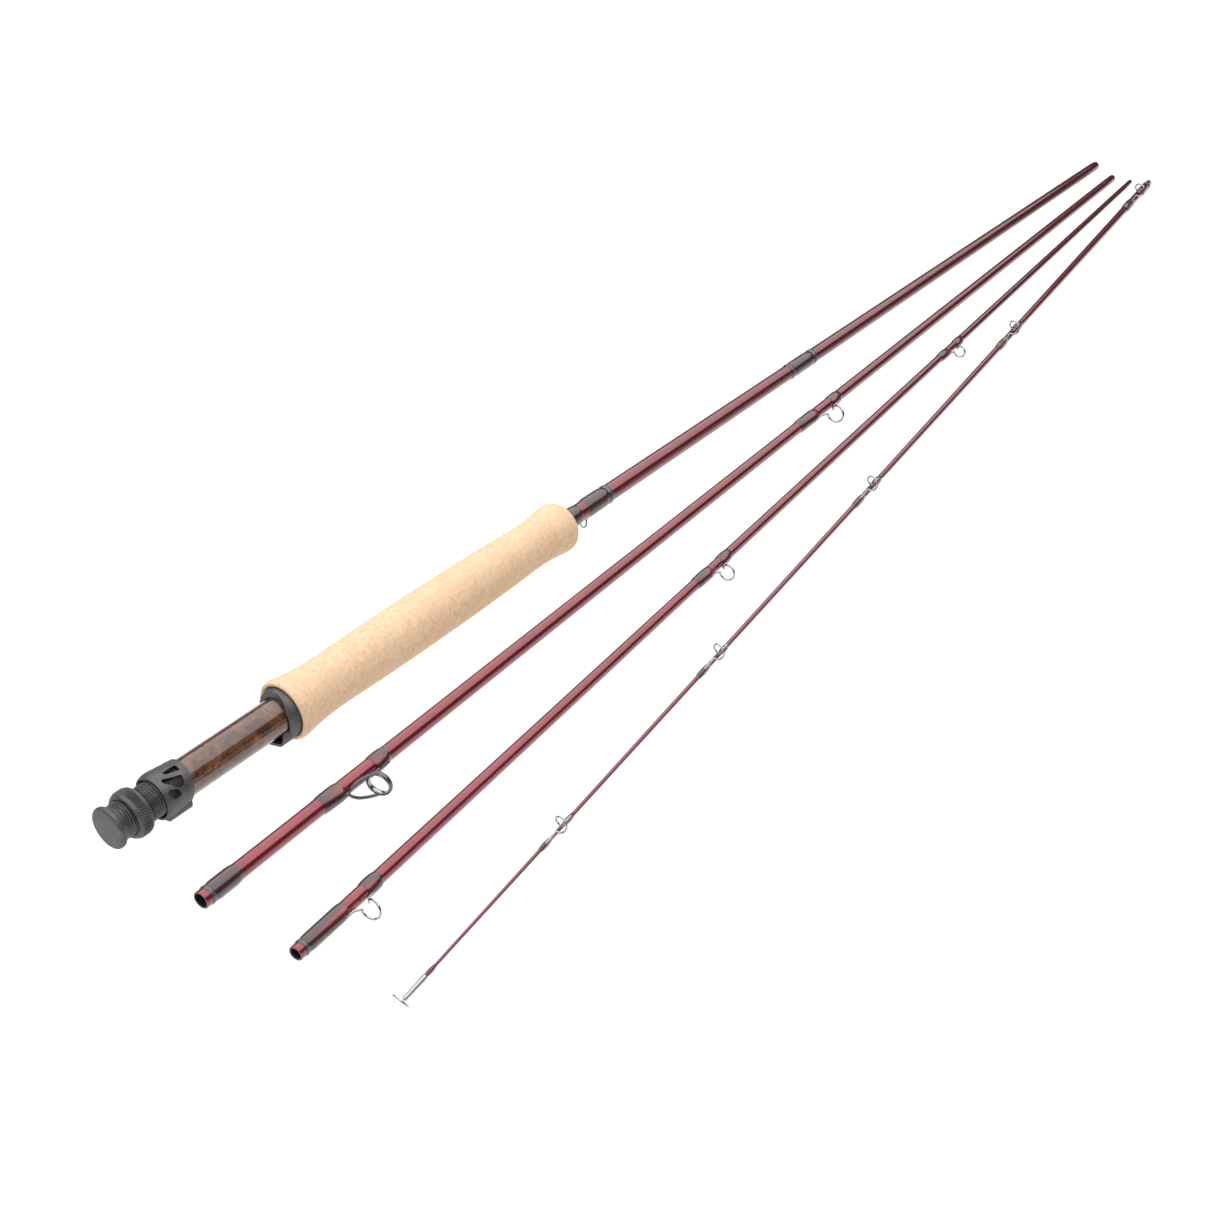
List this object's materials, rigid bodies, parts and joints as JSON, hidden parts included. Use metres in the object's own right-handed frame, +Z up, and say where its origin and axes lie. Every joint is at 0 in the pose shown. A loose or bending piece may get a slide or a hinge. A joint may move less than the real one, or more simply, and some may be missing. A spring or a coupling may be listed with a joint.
{
  "type": "fly rod",
  "caption": "Taken-down fly rod lying in a fan: butt section with cork grip and burl reel seat, two mid sections and a reversed tip section with snake guides",
  "frame": {"origin": "on the floor under the centre of the bounding box", "axes": "+X runs along the butt section from its butt cap towards its male ferrule, +Y points from the other sections towards the butt section, and +Z is up"},
  "size_m": [0.7398, 0.161, 0.0273],
  "materials": {
    "rod_blank": "clear glossy varnish over deep red graphite",
    "thread_wrap": "thread under glossy epoxy",
    "trim_thread": "grey-blue trim thread under glossy epoxy",
    "cork": "bare sanded cork",
    "burl_wood": "varnished burl",
    "anodised": "matte charcoal anodised",
    "guide_chrome": "polished",
    "gunmetal": "dark plated",
    "seal_rubber": "matte",
    "fibre": "matte"
  },
  "bodies": {
    "butt_section": {"butt_blank": "rod_blank", "butt_cap": "anodised", "cork_grip": "cork", "fixed_hood": "anodised", "grip_wrap": "thread_wrap", "hook_keeper": "guide_chrome", "keeper_trim": "trim_thread", "keeper_wrap": "thread_wrap", "seat_arbor_front": "fibre", "seat_arbor_rear": "fibre", "seat_barrel": "anodised", "signature_trim_front": "trim_thread", "signature_trim_rear": "trim_thread", "signature_wrap": "thread_wrap", "wood_insert": "burl_wood"},
    "lock_ring_carrier": {"lock_ring_o_ring": "seal_rubber"},
    "lock_ring": {"lock_ring": "anodised"},
    "sliding_hood": {"sliding_hood": "anodised"},
    "mid_section_1": {"mid1_blank": "rod_blank", "mid1_ferrule_trim": "trim_thread", "mid1_ferrule_wrap": "thread_wrap", "mid1_snake_front_wrap": "thread_wrap", "mid1_snake_guide": "guide_chrome", "mid1_snake_rear_wrap": "thread_wrap", "stripping_guide_frame": "gunmetal", "stripping_guide_front_wrap": "thread_wrap", "stripping_guide_rear_wrap": "thread_wrap", "stripping_guide_ring": "guide_chrome"},
    "mid_section_2": {"mid2_blank": "rod_blank", "mid2_ferrule_trim": "trim_thread", "mid2_ferrule_wrap": "thread_wrap", "mid2_snake_1_front_wrap": "thread_wrap", "mid2_snake_2_front_wrap": "thread_wrap", "mid2_snake_2_rear_wrap": "thread_wrap", "mid2_snake_3_front_wrap": "thread_wrap", "mid2_snake_3_rear_wrap": "thread_wrap", "mid2_snake_guide_1": "guide_chrome", "mid2_snake_guide_2": "guide_chrome", "mid2_snake_guide_3": "guide_chrome"},
    "tip_section": {"tip_blank": "rod_blank", "tip_ferrule_trim": "trim_thread", "tip_ferrule_wrap": "thread_wrap", "tip_snake_1_butt_wrap": "thread_wrap", "tip_snake_1_tip_wrap": "thread_wrap", "tip_snake_2_butt_wrap": "thread_wrap", "tip_snake_2_tip_wrap": "thread_wrap", "tip_snake_3_butt_wrap": "thread_wrap", "tip_snake_3_tip_wrap": "thread_wrap", "tip_snake_4_butt_wrap": "thread_wrap", "tip_snake_4_tip_wrap": "thread_wrap", "tip_snake_5_tip_wrap": "thread_wrap", "tip_snake_guide_1": "guide_chrome", "tip_snake_guide_2": "guide_chrome", "tip_snake_guide_3": "guide_chrome", "tip_snake_guide_4": "guide_chrome", "tip_snake_guide_5": "guide_chrome", "tip_top_ring": "guide_chrome", "tip_top_tube": "guide_chrome", "tip_top_wrap": "thread_wrap"}
  },
  "joints": [
    {"name": "lock_ring_travel", "type": "slide", "parent": "butt_section", "child": "lock_ring_carrier", "axis": [0.9999, 0, -0.0116], "range_m": [-0.0035, 0.0065]},
    {"name": "lock_ring_turn", "type": "hinge", "parent": "lock_ring_carrier", "child": "lock_ring", "pos_m": [-0.35713, 0.06693, 0.01465], "axis": [0.9999, 0, -0.0116], "range_deg": [-990, 1840]},
    {"name": "sliding_hood_travel", "type": "slide", "parent": "butt_section", "child": "sliding_hood", "axis": [0.9999, 0, -0.0116], "range_m": [0, 0.047]},
    {"name": "mid_section_1_lift", "type": "slide", "parent": "butt_section", "child": "mid_section_1", "axis": [0, 0, 1], "range_m": [0, 0.2]},
    {"name": "mid_section_2_lift", "type": "slide", "parent": "butt_section", "child": "mid_section_2", "axis": [0, 0, 1], "range_m": [0, 0.2]},
    {"name": "tip_section_lift", "type": "slide", "parent": "butt_section", "child": "tip_section", "axis": [0, 0, 1], "range_m": [0, 0.2]}
  ],
  "couplings": [
    {"joint": "lock_ring_travel", "follows": "lock_ring_turn", "m_per_rad": 0.00020213}
  ]
}
